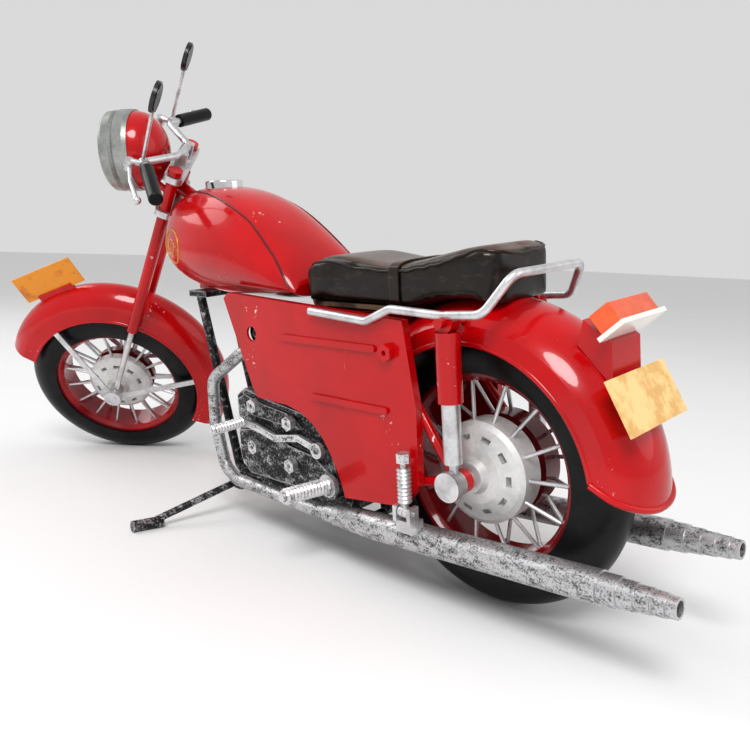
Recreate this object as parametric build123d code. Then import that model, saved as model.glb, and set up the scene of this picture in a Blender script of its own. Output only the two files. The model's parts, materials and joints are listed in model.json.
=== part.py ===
from build123d import *
import math
import os

# Handmade tin motorcycle model on its side stand.  Design frame: X forward, Y to the
# rider's left, Z up, the rear tyre touching the origin.  Millimetres.

# ---- driving dimensions ----
wheel_radius = 48.0
wheelbase = 251.0
rake = 36.0             # slope of the steering axis from upright, degrees
steer_angle = 46.0      # bars turned to the left as the model stands
lean_angle = 6.0        # lean onto the side stand
tyre_half_width = 10.5
tyre_bead_radius = 33.0
rim_inner_radius = 30.0
rim_half_width = 8.5
spoke_radius = 0.7
front_spokes = 16
rear_spokes = 14
hub_radius = 5.0
rear_drum_radius = 17.4
front_drum_radius = 16.5
rear_axle_radius = 2.0
front_axle_radius = 1.8
running_gap = 0.05      # radial clearance of a turning fit
pin_gap = 0.06
part_gap = 0.3          # clearance between pieces on different bodies
sheet = 1.0             # tin sheet thickness

rear_guard_radius = 57.5
rear_guard_half_width = 18.0
front_guard_radius = 58.5
front_guard_half_width = 11.8
guard_bead_radius = 44.0
bead_wire_radius = 0.9

fork_half_spacing = 15.5
fork_tube_radius = 2.7
fork_rod_radius = 1.5
fork_rod_exposed = 45.0     # from the axle up to the red tube
fork_top = 133.0            # along the steering axis from the axle
head_radius = 4.6
head_bottom = 119.0
head_top = 131.5
stem_radius = 2.6
yoke_thickness = 3.0

frame_tube = 2.0
backbone_radius = 3.0
cradle_half_width = 8.0
cradle_height = 18.0

engine_half_width = 14.0
cover_face = 22.0           # outer face of the engine covers
cover_front = 117.0
cover_low = 27.0

panel_face = 24.0           # outer face of the side panels
panel_depth = 3.0

silencer_spread = 22.0
silencer_radius = 5.1
pipe_radius = 2.6
shock_spread = 24.0
shock_tube_radius = 4.0
shock_rod_radius = 3.0

seat_front = 76.5
seat_rear = -13.0
seat_half_width = 17.5
seat_bottom = 101.6
seat_corner = 8.0
rail_radius = 1.4

nut_radius = 3.0
peg_coil_radius = 3.1
peg_reach = 44.5
toe_reach = 38.7            # end of the gear lever's toe peg
grip_radius = 3.0


# ---- shared helpers ----
def rod(a, b, radius):
    """Round bar from point a to point b."""
    a, b = Vector(*a), Vector(*b)
    base = Cylinder(radius, (b - a).length, align=(Align.CENTER, Align.CENTER, Align.MIN))
    return Plane(origin=a, z_dir=b - a) * base


def bent_rod(points, radius, bends):
    """Round bar along straight runs joined by tangent arcs."""
    path = FilletPolyline(*points, radius=bends)
    section = Plane(origin=path @ 0, z_dir=path % 0) * Circle(radius)
    return sweep(section, path=path)


def hex_nut(centre, axis, radius, height, hole=0.9):
    """Nut with its flat back on the centre point and a blind hole in its outer end."""
    outline = extrude(RegularPolygon(radius, 6), height)
    dimple = Pos(0, 0, height * 0.5) * Cylinder(hole, height, align=(Align.CENTER, Align.CENTER, Align.MIN))
    return Plane(origin=centre, z_dir=axis) * (outline - dimple)


def mirrored(shape):
    """The same shape on the right-hand side."""
    return mirror(shape, about=Plane.XZ)


def both_sides(shape):
    """Left and right copies as separate solids of one piece group."""
    return Compound(children=[*solids_of(shape), *solids_of(mirrored(shape))])


def solids_of(shape):
    """The solids of any shape."""
    return list(shape.solids())


def group(*shapes):
    """Separate solids held together in one node."""
    return Compound(children=[solid for shape in shapes for solid in solids_of(shape)])


def welded(*shapes):
    """Touching pieces fused into one weldment."""
    whole = shapes[0]
    for shape in shapes[1:]:
        whole = whole + shape
    return whole


def plate(points, inner, outer):
    """Flat piece cut to an outline in the XZ plane, between two distances from the middle."""
    face = make_face(Polyline(*[(x, z) for x, z in points], close=True))
    face = Plane(origin=(0, inner, 0), x_dir=(1, 0, 0), z_dir=(0, -1, 0)) * face
    return extrude(face, outer - inner, dir=(0, 1, 0))


def along_fork(distance, forward=0.0, side=0.0):
    """Point at a distance up the steering axis from the front axle, and square to it."""
    slope = math.radians(rake)
    return (
        wheelbase - distance * math.sin(slope) + forward * math.cos(slope),
        side,
        wheel_radius + distance * math.cos(slope) + forward * math.sin(slope),
    )


fork_direction = Vector(*along_fork(1)) - Vector(*along_fork(0))
steering_axis = Axis(along_fork(0), fork_direction)
front_hub = Vector(wheelbase, 0, wheel_radius)
rear_hub = Vector(0, 0, wheel_radius)


# ---- wheels ----
def ring_about(profile_points, centre):
    """Ring turned about the wheel axis from (radius, side) points."""
    face = make_face(Polyline(*profile_points, close=True))
    turned = revolve(Plane.XY * face, Axis.Y, 360)
    return Pos(*centre) * turned


def tyre(centre):
    """Round-shouldered tyre with a flat bead seat."""
    crown = Ellipse(wheel_radius - tyre_bead_radius - 3.5, tyre_half_width)
    crown = Pos(tyre_bead_radius + 3.5, 0) * crown
    bead = Pos(tyre_bead_radius + 3.0, 0) * Rectangle(6.0, 2 * rim_half_width)
    section = crown + bead
    section = section & (Pos(tyre_bead_radius + 25, 0) * Rectangle(50, 60))
    return Pos(*centre) * revolve(section, Axis.Y, 360)


def rim(centre):
    """Channel rim that the tyre sits on, with a raised lip each side."""
    lip = rim_half_width
    points = [
        (rim_inner_radius, -lip + 2), (rim_inner_radius + 1.6, -lip),
        (tyre_bead_radius, -lip), (tyre_bead_radius, lip),
        (rim_inner_radius + 1.6, lip), (rim_inner_radius, lip - 2),
    ]
    return ring_about(points, centre)


def spokes(centre, count, flange_radius, flange_side, turn):
    """One radial set of wire spokes each side, from hub flange to rim."""
    wires = []
    for side in (1, -1):
        for index in range(count):
            angle = 2 * math.pi * (index + (0.5 if side < 0 else 0) + turn) / count
            inner = Vector(math.cos(angle), 0, math.sin(angle)) * flange_radius
            outer = Vector(math.cos(angle), 0, math.sin(angle)) * (rim_inner_radius + 0.8)
            inner += Vector(0, side * flange_side, 0)
            outer += Vector(0, side * (rim_half_width - 4.0), 0)
            wires.append(rod(centre + inner, centre + outer, spoke_radius))
    return Compound(children=wires)


def drum(centre, side, radius, face, slots, bore, wires):
    """Domed hub disc with a raised rim band, a boss, a ring of slots and the spoke holes."""
    points = [
        (bore, 0.3), (radius * 0.95, 0.3), (radius, 1.6), (radius, face - 3.4),
        (radius - 1.6, face - 2.2), (radius * 0.55, face), (hub_radius + 1.2, face + 0.6),
        (hub_radius, face + 3.2), (bore, face + 3.2),
    ]
    body = ring_about([(r, y) for r, y in points], centre)
    for index in range(slots):
        angle = 360 * index / slots
        cutter = Pos(radius * 0.72, face - 1.2, 0) * Box(1.7, 4.6, 3.4)
        body -= Pos(*centre) * (Rot(0, angle, 0) * cutter)
    if side < 0:
        body = mirrored(body)
    return body - wires


# ---- mudguards ----
def guard_face(crown_radius, half_width, bead_radius):
    """Section of a mudguard: straight sides, then one smooth crown from shoulder to shoulder."""
    edges = []
    for inset in (0.0, sheet):
        shoulder = crown_radius - 8.0 - inset * 0.4
        reach = half_width - 1.2 - inset
        crown = Spline(
            (shoulder, reach), (crown_radius - 2.6 - inset, reach * 0.62), (crown_radius - inset, 0),
            (crown_radius - 2.6 - inset, -reach * 0.62), (shoulder, -reach),
        )
        edges += crown.edges()
        for side in (1, -1):
            edges += Line((bead_radius, side * (half_width - inset)), (shoulder, side * reach)).edges()
    for side in (1, -1):
        edges += Line((bead_radius, side * half_width), (bead_radius, side * (half_width - sheet))).edges()
    return make_face(edges)


def guard_block(centre, crown_radius, half_width, bead_radius):
    """Everything inside a mudguard's outer surface, to fit brackets against it."""
    shoulder = crown_radius - 8.0
    reach = half_width - 1.2
    crown = Spline(
        (shoulder, reach), (crown_radius - 2.6, reach * 0.62), (crown_radius, 0),
        (crown_radius - 2.6, -reach * 0.62), (shoulder, -reach),
    )
    rest = Polyline(
        (shoulder, -reach), (bead_radius, -half_width), (10, -half_width), (10, half_width),
        (bead_radius, half_width), (shoulder, reach),
    )
    return Pos(*centre) * revolve(make_face([*crown.edges(), *rest.edges()]), Axis.Y, 360)


def guard(centre, crown_radius, half_width, bead_radius, start, end):
    """Deep crowned mudguard with rolled edges, swept from start to end angle (degrees from forward)."""
    face = guard_face(crown_radius, half_width, bead_radius)
    skin = revolve(face, Axis.Y, end - start)
    ends = []
    for side in (1, -1):
        ring = Pos(bead_radius, side * (half_width - sheet * 0.5)) * Circle(bead_wire_radius)
        ends.append(revolve(ring, Axis.Y, end - start))
    shape = skin + ends[0] + ends[1]
    return Pos(*centre) * (Rot(0, -end, 0) * shape)


rear_guard_start = 50.0
rear_guard_end = 181.0
lip_side_angle = 170.0      # where the rear guard's side edges start to turn up
front_guard_start = 36.0
front_guard_end = 222.0


def radial(centre, radius, angle, side=0.0):
    """Point at a radius and angle (degrees from forward, upwards) about a wheel centre."""
    turn = math.radians(angle)
    return (centre.X + radius * math.cos(turn), side, centre.Z + radius * math.sin(turn))


# ---- frame ----
stand_pivot = Vector(128.0, 14.6, 18.7)
stand_eye_half = 1.6
stand_pin_radius = 1.3


def stand_bracket():
    """Welded lug, pin and pin head that the side stand turns on."""
    under = stand_pivot.Z - stand_eye_half - 2 * part_gap
    lug = Pos(stand_pivot.X, 11.6, under - 0.7) * Box(4.8, 10.0, 1.4)
    pin = Pos(*stand_pivot) * Cylinder(stand_pin_radius, 2 * (stand_eye_half + part_gap + 0.5))
    head = Pos(stand_pivot.X, stand_pivot.Y, stand_pivot.Z + stand_eye_half + part_gap + 0.5)
    return welded(lug, pin, head * Cylinder(2.3, 1.0))


gusset_low = 100.5
tunnel_half = 2.6
backbone_front = along_fork(124.5, -head_radius + 0.5)
backbone_rear = (70.6, 0.0, 94.5)
rail_line = 97.5            # height of the seat rails
rail_spread = 9.0
seat_rail_front = 71.0
seat_tube_foot = 53.5
pivot_height = 34.0
stud_x = 62.0
stud_height = rail_line - 3.2


def backbone_line(x):
    """Height of the backbone tube's middle at a distance along the bike."""
    front_x, rear_x = backbone_front[0], backbone_rear[0]
    front_z, rear_z = backbone_front[2], backbone_rear[2]
    return rear_z + (x - rear_x) * (front_z - rear_z) / (front_x - rear_x)


def frame_parts():
    head = rod(along_fork(head_bottom), along_fork(head_top), head_radius)
    head -= rod(along_fork(head_bottom - 5), along_fork(head_top + 5), stem_radius + running_gap)
    backbone = rod(backbone_front, backbone_rear, backbone_radius)
    backbone -= rod(along_fork(head_bottom - 5), along_fork(head_top + 5), head_radius)
    gusset = plate(
        [
            (143, gusset_low), (150, backbone_line(150) - 1), (160, backbone_line(160) - 1),
            (165, gusset_low),
        ],
        -1.5, 1.5,
    )
    bridge = Pos(155, 0, gusset_low - 1.3) * Box(13, 2 * cradle_half_width + 3.6, 2.6)
    cradle_path = [
        (155.0, cradle_half_width, gusset_low - 2.4),
        (137.0, cradle_half_width, cradle_height + 4),
        (130.0, cradle_half_width, cradle_height),
        (seat_tube_foot - 3, cradle_half_width, cradle_height),
    ]
    cradle = bent_rod(cradle_path, frame_tube, [3, 5])
    bars = []
    for x, height, reach in (
        (124.0, cradle_height, cradle_half_width),
        (seat_tube_foot, cradle_height, cradle_half_width),
        (seat_tube_foot, pivot_height, 15.5),
    ):
        bars.append(rod((x, -reach, height), (x, reach, height), frame_tube * 0.8))
    seat_tube = rod((seat_tube_foot, 0, cradle_height), (stud_x, 0, stud_height), frame_tube)
    rails = bent_rod(
        [
            (30, rail_spread, rail_line), (seat_rail_front, rail_spread, rail_line),
            (seat_rail_front, -rail_spread, rail_line), (30, -rail_spread, rail_line),
        ],
        frame_tube,
        [4, 4],
    )
    stud_end = panel_face - sheet
    front_stud = rod((stud_x, -stud_end, stud_height), (stud_x, stud_end, stud_height), 1.5)
    stays = []
    for sign in (1, -1):
        lower = rod((seat_tube_foot, sign * 15, pivot_height), (1.5, sign * 20.6, wheel_radius), 1.7)
        upper = rod((27.0, sign * 18.4, 81.0), (1.5, sign * 20.6, wheel_radius), 1.7)
        eye = Plane(origin=(0, sign * 20.6, wheel_radius), z_dir=(0, 1, 0)) * Cylinder(4.0, 3.2)
        bore = Plane(origin=(0, sign * 20.6, wheel_radius), z_dir=(0, 1, 0)) * Cylinder(rear_axle_radius, 8)
        stays.append(lower + upper + eye - bore)
    lower_frame = welded(bridge, cradle, mirrored(cradle), *bars, seat_tube, stand_bracket())
    lower_frame = lower_frame - engine_core()
    backbone = welded(backbone, gusset) - bridge
    rails = welded(rails, front_stud) - lower_frame - backbone
    return {
        "steering_head": head,
        "backbone": backbone,
        "lower_frame": lower_frame,
        "seat_rails": rails,
        "rear_fork": group(*[stay - bars[2] for stay in stays]),
    }


# ---- engine ----
cylinder_x = 98.0
cylinder_radius = 12.5
lever_pivot = (65.0, 46.5)
cover_nuts = [(103.0, 58.0), (81.4, 54.2), (103.9, 40.8), (81.2, 37.3)]


def engine_core():
    """Crankcase block resting on the cradle tubes."""
    outline = [
        (60, 19.6), (112, 19.6), (118, 30), (118, 60), (108, 66), (80, 66), (64, 58), (58, 44), (57, 26),
    ]
    return plate(outline, -engine_half_width, engine_half_width)


peg_foot = (60.2, cover_face, 33.8)
peg_inside = (60.0, engine_half_width, 33.6)


def engine_parts():
    cover = plate(
        [
            (61, cover_low), (112, cover_low), (cover_front, 33), (cover_front, 60), (112, 63.5),
            (100, 61), (86, 59.5), (74, 58), (66, 52), (60.5, 44), (58, 34),
        ],
        engine_half_width, cover_face - 2.0,
    )
    lower_step = plate(
        [(63, 28.5), (110, 28.5), (115, 34), (115, 46), (100, 48.5), (82, 44.5), (69, 43), (61, 38)],
        cover_face - 2.0, cover_face,
    )
    upper_step = plate(
        [(77, 52), (92, 52.5), (115, 54), (115, 59), (110, 61.5), (98, 59), (84, 57.5)],
        cover_face - 2.0, cover_face - 0.5,
    )
    cover = cover + lower_step + upper_step - rod(peg_inside, peg_foot, 1.5)
    pivot_x, pivot_z = lever_pivot
    shaft = rod((pivot_x, cover_face - 3, pivot_z), (pivot_x, cover_face + 2.6, pivot_z), 1.3)
    fins = []
    for level in range(6):
        fins.append(Pos(cylinder_x, 0, 70 + 4.2 * level) * Cylinder(cylinder_radius, 1.6))
    barrel = Pos(cylinder_x, 0, 66) * Cylinder(9, 26, align=(Align.CENTER, Align.CENTER, Align.MIN))
    for fin in fins:
        barrel += fin
    nuts = []
    for index, (x, z) in enumerate(cover_nuts):
        face = cover_face - 0.5 if index < 2 else cover_face
        nuts.append(hex_nut((x, face, z), (0, 1, 0), nut_radius, 2.6))
    return {
        "engine_case": engine_core(),
        "engine_cylinder": barrel,
        "engine_covers": group(cover + shaft, mirrored(cover)),
        "engine_nuts": both_sides(group(*nuts)),
    }


def coil_sleeve(a, b, radius, pitch):
    """Close-wound wire sleeve on a peg, as a stack of rounded turns."""
    a, b = Vector(*a), Vector(*b)
    length = (b - a).length
    turns = int(length / pitch)
    points = [(radius - pitch * 0.9, 0)]
    for turn in range(turns):
        base = turn * pitch
        points += [(radius - pitch * 0.3, base), (radius, base + pitch * 0.5)]
    points += [(radius - pitch * 0.3, turns * pitch), (radius - pitch * 0.9, turns * pitch)]
    face = Plane.XZ * make_face(Polyline(*points, close=True))
    return Plane(origin=a, z_dir=b - a) * revolve(face, Axis.Z, 360)


def gear_lever():
    pivot_x, pivot_z = lever_pivot
    line = [(pivot_x, pivot_z), (76, 49.3), (90, 46.8), (101, 49.2), (111, 50.4)]
    upper = [(x, z + 1.4) for x, z in line]
    lower = [(x, z - 1.4) for x, z in reversed(line)]
    inner = cover_face + 0.3
    strip = plate(upper + lower, inner, inner + 1.3)
    boss = rod((pivot_x, inner, pivot_z), (pivot_x, inner + 2.0, pivot_z), 3.0)
    bore = rod((pivot_x, inner - 2, pivot_z), (pivot_x, inner + 6, pivot_z), 1.3 + pin_gap)
    peg = rod((110.5, inner + 0.5, 50.2), (110.5, toe_reach, 50.2), 1.2)
    coil = coil_sleeve((110.5, inner + 1.0, 50.2), (110.5, toe_reach, 50.2), 2.2, 1.4)
    return strip + boss + peg + coil - bore


def peg_parts():
    pegs = []
    for sign in (1, -1):
        start = (peg_inside[0], sign * peg_inside[1], peg_inside[2])
        foot = (peg_foot[0], sign * peg_foot[1], peg_foot[2])
        end = (61.8, sign * peg_reach, 35.4)
        flange = Cylinder(4.4, 2.0, align=(Align.CENTER, Align.CENTER, Align.MIN))
        flange = Plane(origin=foot, z_dir=(0, sign, 0)) * flange
        sleeve = coil_sleeve((60.4, sign * (cover_face + 1.9), 34.0), end, peg_coil_radius, 1.5)
        pegs.append(rod(start, foot, 1.5) + rod(foot, end, 1.5) + flange + sleeve)
    return {"rider_pegs": group(*pegs)}


# ---- exhaust ----
def exhaust_line(x):
    """Height of the silencer axis at a distance along the bike."""
    return 28.2 + (-50.0 - x) * 0.055


def exhaust_header():
    """Pipe from the cylinder, down past the engine and back into the silencer."""
    return bent_rod(
        [
            (106.8, 6.0, 80.4), (119.0, 15.0, 76.5), (137.0, 18.0, 64.0), (136.5, 19.0, 44.0),
            (131.0, 19.5, 26.0), (122.0, 20.5, 22.0), (72.0, silencer_spread, exhaust_line(72.0)),
            (58.0, silencer_spread, exhaust_line(58.0)),
        ],
        pipe_radius,
        [5, 7, 8, 6, 5, 20],
    )


def silencer():
    """Long stepped can with an open tail pipe."""
    profile = []
    rings = [(61, 3.4), (56, 3.9), (51, 4.3), (46, 4.6), (41, 4.9), (36, silencer_radius)]
    tail = [(-50.0, 4.6), (-55.8, 4.1), (-60.6, 3.7), (-65.0, 3.4), (-69.0, 3.0)]
    for x, radius in rings:
        profile += [(63.0 - x - 2.0, radius), (63.0 - x + 3.0, radius)]
    for x, radius in tail:
        profile += [(63.0 - x, profile[-1][1]), (63.0 - x, radius)]
    profile += [(63.0 + 72.0, 3.0)]
    full = [(0, 0.0)] + [(radius, along) for along, radius in profile] + [(0, 135.0)]
    face = make_face(Polyline(*[(r, a) for r, a in full], close=True))
    can = revolve(face, Axis.Y, 360)
    slope = math.degrees(math.atan(0.055))
    can = Rot(0, slope, 0) * (Rot(0, 0, 90) * can)
    can = Pos(63.0, silencer_spread, exhaust_line(63.0)) * can

    def inside(x):
        return (x, silencer_spread, exhaust_line(x))

    mouth = rod(inside(-60.0), inside(-75.0), 2.2)
    entry = rod(inside(66.0), inside(58.0), pipe_radius)
    return can - mouth - entry


def exhaust_parts():
    can = silencer()
    return {
        "header_pipes": both_sides(exhaust_header()),
        "silencers": group(can, Pos(0, -2 * silencer_spread, 0) * can),
    }


# ---- side panels ----
panel_nut = (25.8, 87.9)
panel_hole = (98.6, 87.9)


def panel_outline():
    """Side panel outline: slanted front, a cut-out round the engine and a raked rear edge."""
    front = Polyline((98.0, 62.5), (100.5, 66.0), (115.0, 101.0), (112.0, 103.3), (19.5, 98.6))
    rear = Polyline((19.5, 98.6), (14.8, 70.0), (15.0, 44.0), (22.0, 35.0), (50.7, 31.5))
    cut_out = Polyline(
        (50.7, 31.5), (52.2, 36.4), (54.5, 41.8), (57.6, 47.6), (61.6, 53.0), (66.6, 57.3), (72.8, 60.4),
        (80.4, 62.0), (98.0, 62.5),
    )
    return make_face([*front.edges(), *rear.edges(), *cut_out.edges()])


def panel_parts():
    face = panel_outline()
    stand_up = Plane(origin=(0, panel_face, 0), x_dir=(1, 0, 0), z_dir=(0, -1, 0))
    panel = extrude(stand_up * face, panel_depth, dir=(0, -1, 0))
    recess = Plane(origin=(0, panel_face - sheet, 0), x_dir=(1, 0, 0), z_dir=(0, -1, 0))
    hollow = offset(face, amount=-sheet, kind=Kind.INTERSECTION)
    panel -= extrude(recess * hollow, panel_depth, dir=(0, -1, 0))
    for x0, z0, x1, z1 in ((31.5, 87.0, 80.5, 89.6), (27.0, 66.5, 65.0, 68.8)):
        rib = Pos((x0 + x1) / 2, panel_face, (z0 + z1) / 2) * Box(x1 - x0, 1.8, 2.4)
        rib = fillet(rib.edges().filter_by(Axis.Y), 1.1)
        panel += rib
    hole_x, hole_z = panel_hole
    panel -= rod((hole_x, 0, hole_z), (hole_x, 40, hole_z), 2.9)
    nut_x, nut_z = panel_nut
    nut = hex_nut((nut_x, panel_face, nut_z), (0, 1, 0), nut_radius, 2.4)
    return {
        "side_panel_left": panel,
        "side_panel_right": mirrored(panel),
        "panel_nuts": both_sides(nut),
    }


# ---- tank ----
cap_x = 141.0
cap_seat = 143.4
cap_radius = 8.0
cap_height = 4.2


def tank_section(x, half, low, high):
    """Closed rounded section of the tank, flatter at the top."""
    mid = low + (high - low) * 0.42
    points = []
    for index in range(16):
        angle = 2 * math.pi * index / 16
        up = math.sin(angle)
        out = math.cos(angle)
        reach = abs(out) ** 0.8 * half * (1 if out >= 0 else -1)
        height = (high - mid) * up if up > 0 else (mid - low) * up
        points.append(Vector(x, reach, mid + height))
    return make_face(Spline(*points, periodic=True))


tank_sections = [
    (76.5, 19.0, 101.8, 108.0), (84.0, 22.0, 100.6, 118.5), (98.0, 24.0, 99.8, 130.5),
    (116.0, 25.0, 99.8, 140.8), (136.0, 24.5, 100.6, 145.0), (154.0, 21.5, 103.6, 144.4),
    (166.0, 16.5, 108.8, 140.0), (172.0, 10.5, 115.5, 134.0),
]


def tank_parts():
    faces = [tank_section(*values) for values in tank_sections]
    tank = loft(faces)
    tunnel = rod(
        Vector(*backbone_front) * 1.3 - Vector(*backbone_rear) * 0.3,
        Vector(*backbone_rear) * 1.3 - Vector(*backbone_front) * 0.3,
        backbone_radius + part_gap,
    )
    slot = plate(
        [(60, 85), (60, backbone_line(60)), (180, backbone_line(180)), (185, 85)], -tunnel_half, tunnel_half
    )
    recess = rod((cap_x, 0, cap_seat), (cap_x, 0, cap_seat + 9), cap_radius + part_gap)
    cap = rod((cap_x, 0, cap_seat), (cap_x, 0, cap_seat + cap_height), cap_radius)
    cap = fillet(cap.edges().sort_by(Axis.Z)[-1], 0.8)
    return {"fuel_tank": tank - tunnel - slot - recess, "fuel_cap": cap}


# ---- seat ----
def seat_outline(grown=0.0):
    """Side outline of the two-up seat, optionally grown upwards and lengthwise."""
    top = Spline(
        (seat_front + grown, 112.5 + grown), (68.0, 116.0 + grown), (52.0, 116.4 + grown),
        (36.0, 114.6 + grown), (26.0, 115.0 + grown), (8.0, 118.4 + grown), (seat_rear, 121.0 + grown),
    )
    rest = Polyline(
        (seat_rear, 121.0 + grown), (seat_rear - 0.5, seat_bottom), (seat_front - 3, seat_bottom),
        (seat_front + grown, 112.5 + grown),
    )
    return make_face([*top.edges(), *rest.edges()])


strap_x = 29.0
strap_width = 4.4
strap_thickness = 0.7


def seat_parts():
    stand_up = Plane(origin=(0, 0, 0), x_dir=(1, 0, 0), z_dir=(0, -1, 0))
    outline = stand_up * seat_outline()
    guard_room = Pos(*rear_hub) * (Rot(90, 0, 0) * Cylinder(rear_guard_radius + part_gap, 60))
    body = extrude(outline, seat_half_width, both=True)
    core = body
    plan = Rectangle(seat_front - seat_rear + 0.5, 2 * seat_half_width)
    plan = fillet(plan.vertices().sort_by(Axis.X)[:2], seat_corner)
    plan = fillet(plan.vertices().sort_by(Axis.X)[-2:], seat_corner * 0.6)
    plan = Pos((seat_front + seat_rear - 0.5) / 2, 0, 90) * plan
    body = body & extrude(plan, 45)
    body = body - guard_room
    wider = extrude(stand_up * seat_outline(strap_thickness), seat_half_width + strap_thickness, both=True)
    slab = Pos(strap_x, 0, 110) * Box(strap_width, 60, 40)
    strap = (wider & slab) - core
    pan = Pos((70.0 + seat_rear) / 2, 0, seat_bottom - 1.1) * Box(70.0 - seat_rear, 30, 1.6)
    pan = pan - (Pos(*rear_hub) * (Rot(90, 0, 0) * Cylinder(rear_guard_radius + 0.1, 60)))
    return {"seat": body, "seat_strap": strap, "seat_pan": pan}


rail_side = 25.5
rail_corner = 19.0


def rail_and_studs():
    """Grab rail, and the four studs that carry it, the shock tops and the side panels."""
    side = [
        (61.5, rail_side, 99.3), (34.0, rail_side, 97.6), (23.0, rail_side, 102.4), (2.0, rail_side, 101.6),
        (-12.5, rail_side - 0.8, 102.6), (-19.5, rail_corner, 114.0),
    ]
    path = side + [(x, -y, z) for x, y, z in reversed(side)]
    rail = bent_rod(path, rail_radius, [6, 6, 6, 5, 5, 5, 5, 6, 6, 6])
    studs = []
    for sign in (1, -1):
        studs.append(rod((1.0, sign * (rear_guard_half_width - 3.0), 99.6), (1.0, sign * 28.6, 99.6), 1.6))
        nut_x, nut_z = panel_nut
        side_low, side_high = rear_guard_half_width - 1.6, panel_face - sheet
        studs.append(rod((nut_x, sign * side_low, nut_z), (nut_x, sign * side_high, nut_z), 1.3))
    return rail, studs


# ---- rear end ----
plate_top = (-45.5, 84.9)
plate_low = (-53.6, 70.2)
plate_half = 17.4
lens_tilt = 40.0


def rear_lip():
    """Cutter for the sloping lower end of the rear mudguard."""
    low = Vector(*radial(rear_hub, guard_bead_radius, lip_side_angle))
    high = Vector(*radial(rear_hub, rear_guard_radius, rear_guard_end))
    slope = math.degrees(math.atan2(high.Z - low.Z, high.X - low.X))
    return Pos(low.X, 0, low.Z) * Rot(0, -slope, 0) * Pos(0, 0, 15) * Box(60, 60, 30)


def rear_parts():
    rear_guard = guard(
        rear_hub, rear_guard_radius, rear_guard_half_width, guard_bead_radius,
        rear_guard_start, rear_guard_end,
    )
    rail, studs = rail_and_studs()
    rear_guard = rear_guard - rear_lip()
    room = guard_block(rear_hub, rear_guard_radius, rear_guard_half_width, guard_bead_radius)
    bracket = plate([(-34.0, 93.0), (-35.6, 100.6), (-44.6, 94.6), (-45.2, 82.0)], -8.5, 8.5) - room
    middle_x, middle_z = -43.9, 101.9
    turn = Pos(middle_x, 0, middle_z) * Rot(0, lens_tilt, 0)
    lens = turn * Box(7.2, 24.0, 6.4)
    lens = fillet(lens.edges(), 0.5)
    base = turn * (Pos(0, 0, -3.9) * Box(9.4, 26.0, 1.4))
    bracket = bracket - base
    post = rod((-41.0, 0, 95.5), (-41.9, 0, 97.9), 2.4) - base
    top_x, top_z = plate_top
    low_x, low_z = plate_low
    run = math.hypot(top_x - low_x, top_z - low_z)
    out_x, out_z = -(top_z - low_z) / run, (top_x - low_x) / run
    gap = 1.6
    board = plate(
        [
            (top_x + out_x * gap, top_z + out_z * gap), (low_x + out_x * gap, low_z + out_z * gap),
            (low_x + out_x * (gap + 0.8), low_z + out_z * (gap + 0.8)),
            (top_x + out_x * (gap + 0.8), top_z + out_z * (gap + 0.8)),
        ],
        -plate_half, plate_half,
    )
    seat_block = plate(
        [
            (top_x + out_x * gap, top_z + out_z * gap), (low_x + out_x * gap, low_z + out_z * gap),
            (low_x + 4, low_z + 1), (top_x + 4, top_z - 3),
        ],
        -6.0, 6.0,
    ) - room
    return {
        "grab_rail": rail - studs,
        "rear_mudguard": welded(rear_guard, *studs),
        "rear_brackets": group(bracket + post, seat_block - bracket),
        "tail_light_base": base,
        "tail_light_lens": lens,
        "rear_number_plate": board,
    }


def shock_parts():
    top = Vector(1.0, shock_spread, 99.6)
    low = Vector(0.0, shock_spread, wheel_radius)
    up = (top - low).normalized()
    tube_low = top - up * 25.0
    tube = rod(tube_low, top - up * 3.0, shock_tube_radius)
    rod_part = rod(low + up * 7.0, tube_low, shock_rod_radius) + rod(low + up * 3.0, low + up * 7.5, 1.45)
    eye = Plane(origin=low, z_dir=(0, 1, 0)) * Cylinder(4.2, 3.0)
    bore = Plane(origin=low, z_dir=(0, 1, 0)) * Cylinder(rear_axle_radius, 9)
    top_eye = Plane(origin=top, z_dir=(0, 1, 0)) * Cylinder(3.4, 4.4)
    top_bore = Plane(origin=top, z_dir=(0, 1, 0)) * Cylinder(1.6, 9)
    tube = tube + (top_eye - tube) - top_bore
    return {
        "shock_tubes": both_sides(tube),
        "shock_rods": both_sides(rod_part + eye - bore),
    }


def axle_parts():
    rear = rod((0, -27.6, wheel_radius), (0, 27.6, wheel_radius), rear_axle_radius)
    washers = []
    for sign in (1, -1):
        start = Plane(origin=(0, sign * 25.6, wheel_radius), z_dir=(0, sign, 0))
        collar = start * Cylinder(4.8, 2.4, align=(Align.CENTER, Align.CENTER, Align.MIN))
        washers.append(collar)
    return {"rear_axle": welded(rear, *washers)}


# ---- passenger pegs ----
clevis_x = 18.2
clevis_y = 27.4
clevis_z = 35.4


def clevis():
    base_low = exhaust_line(clevis_x) + 3.6
    block = Pos(clevis_x, clevis_y - 1.8, (base_low + 32.2) / 2) * Box(7.2, 5.6, 32.2 - base_low)
    cheeks = Pos(clevis_x, clevis_y, 34.8) * (Box(7.6, 4.4, 5.6) - Box(4.6, 9, 9))
    pin = rod((clevis_x - 4.6, clevis_y, clevis_z), (clevis_x + 4.6, clevis_y, clevis_z), 0.9)
    return block + cheeks + pin - silencer()


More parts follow.
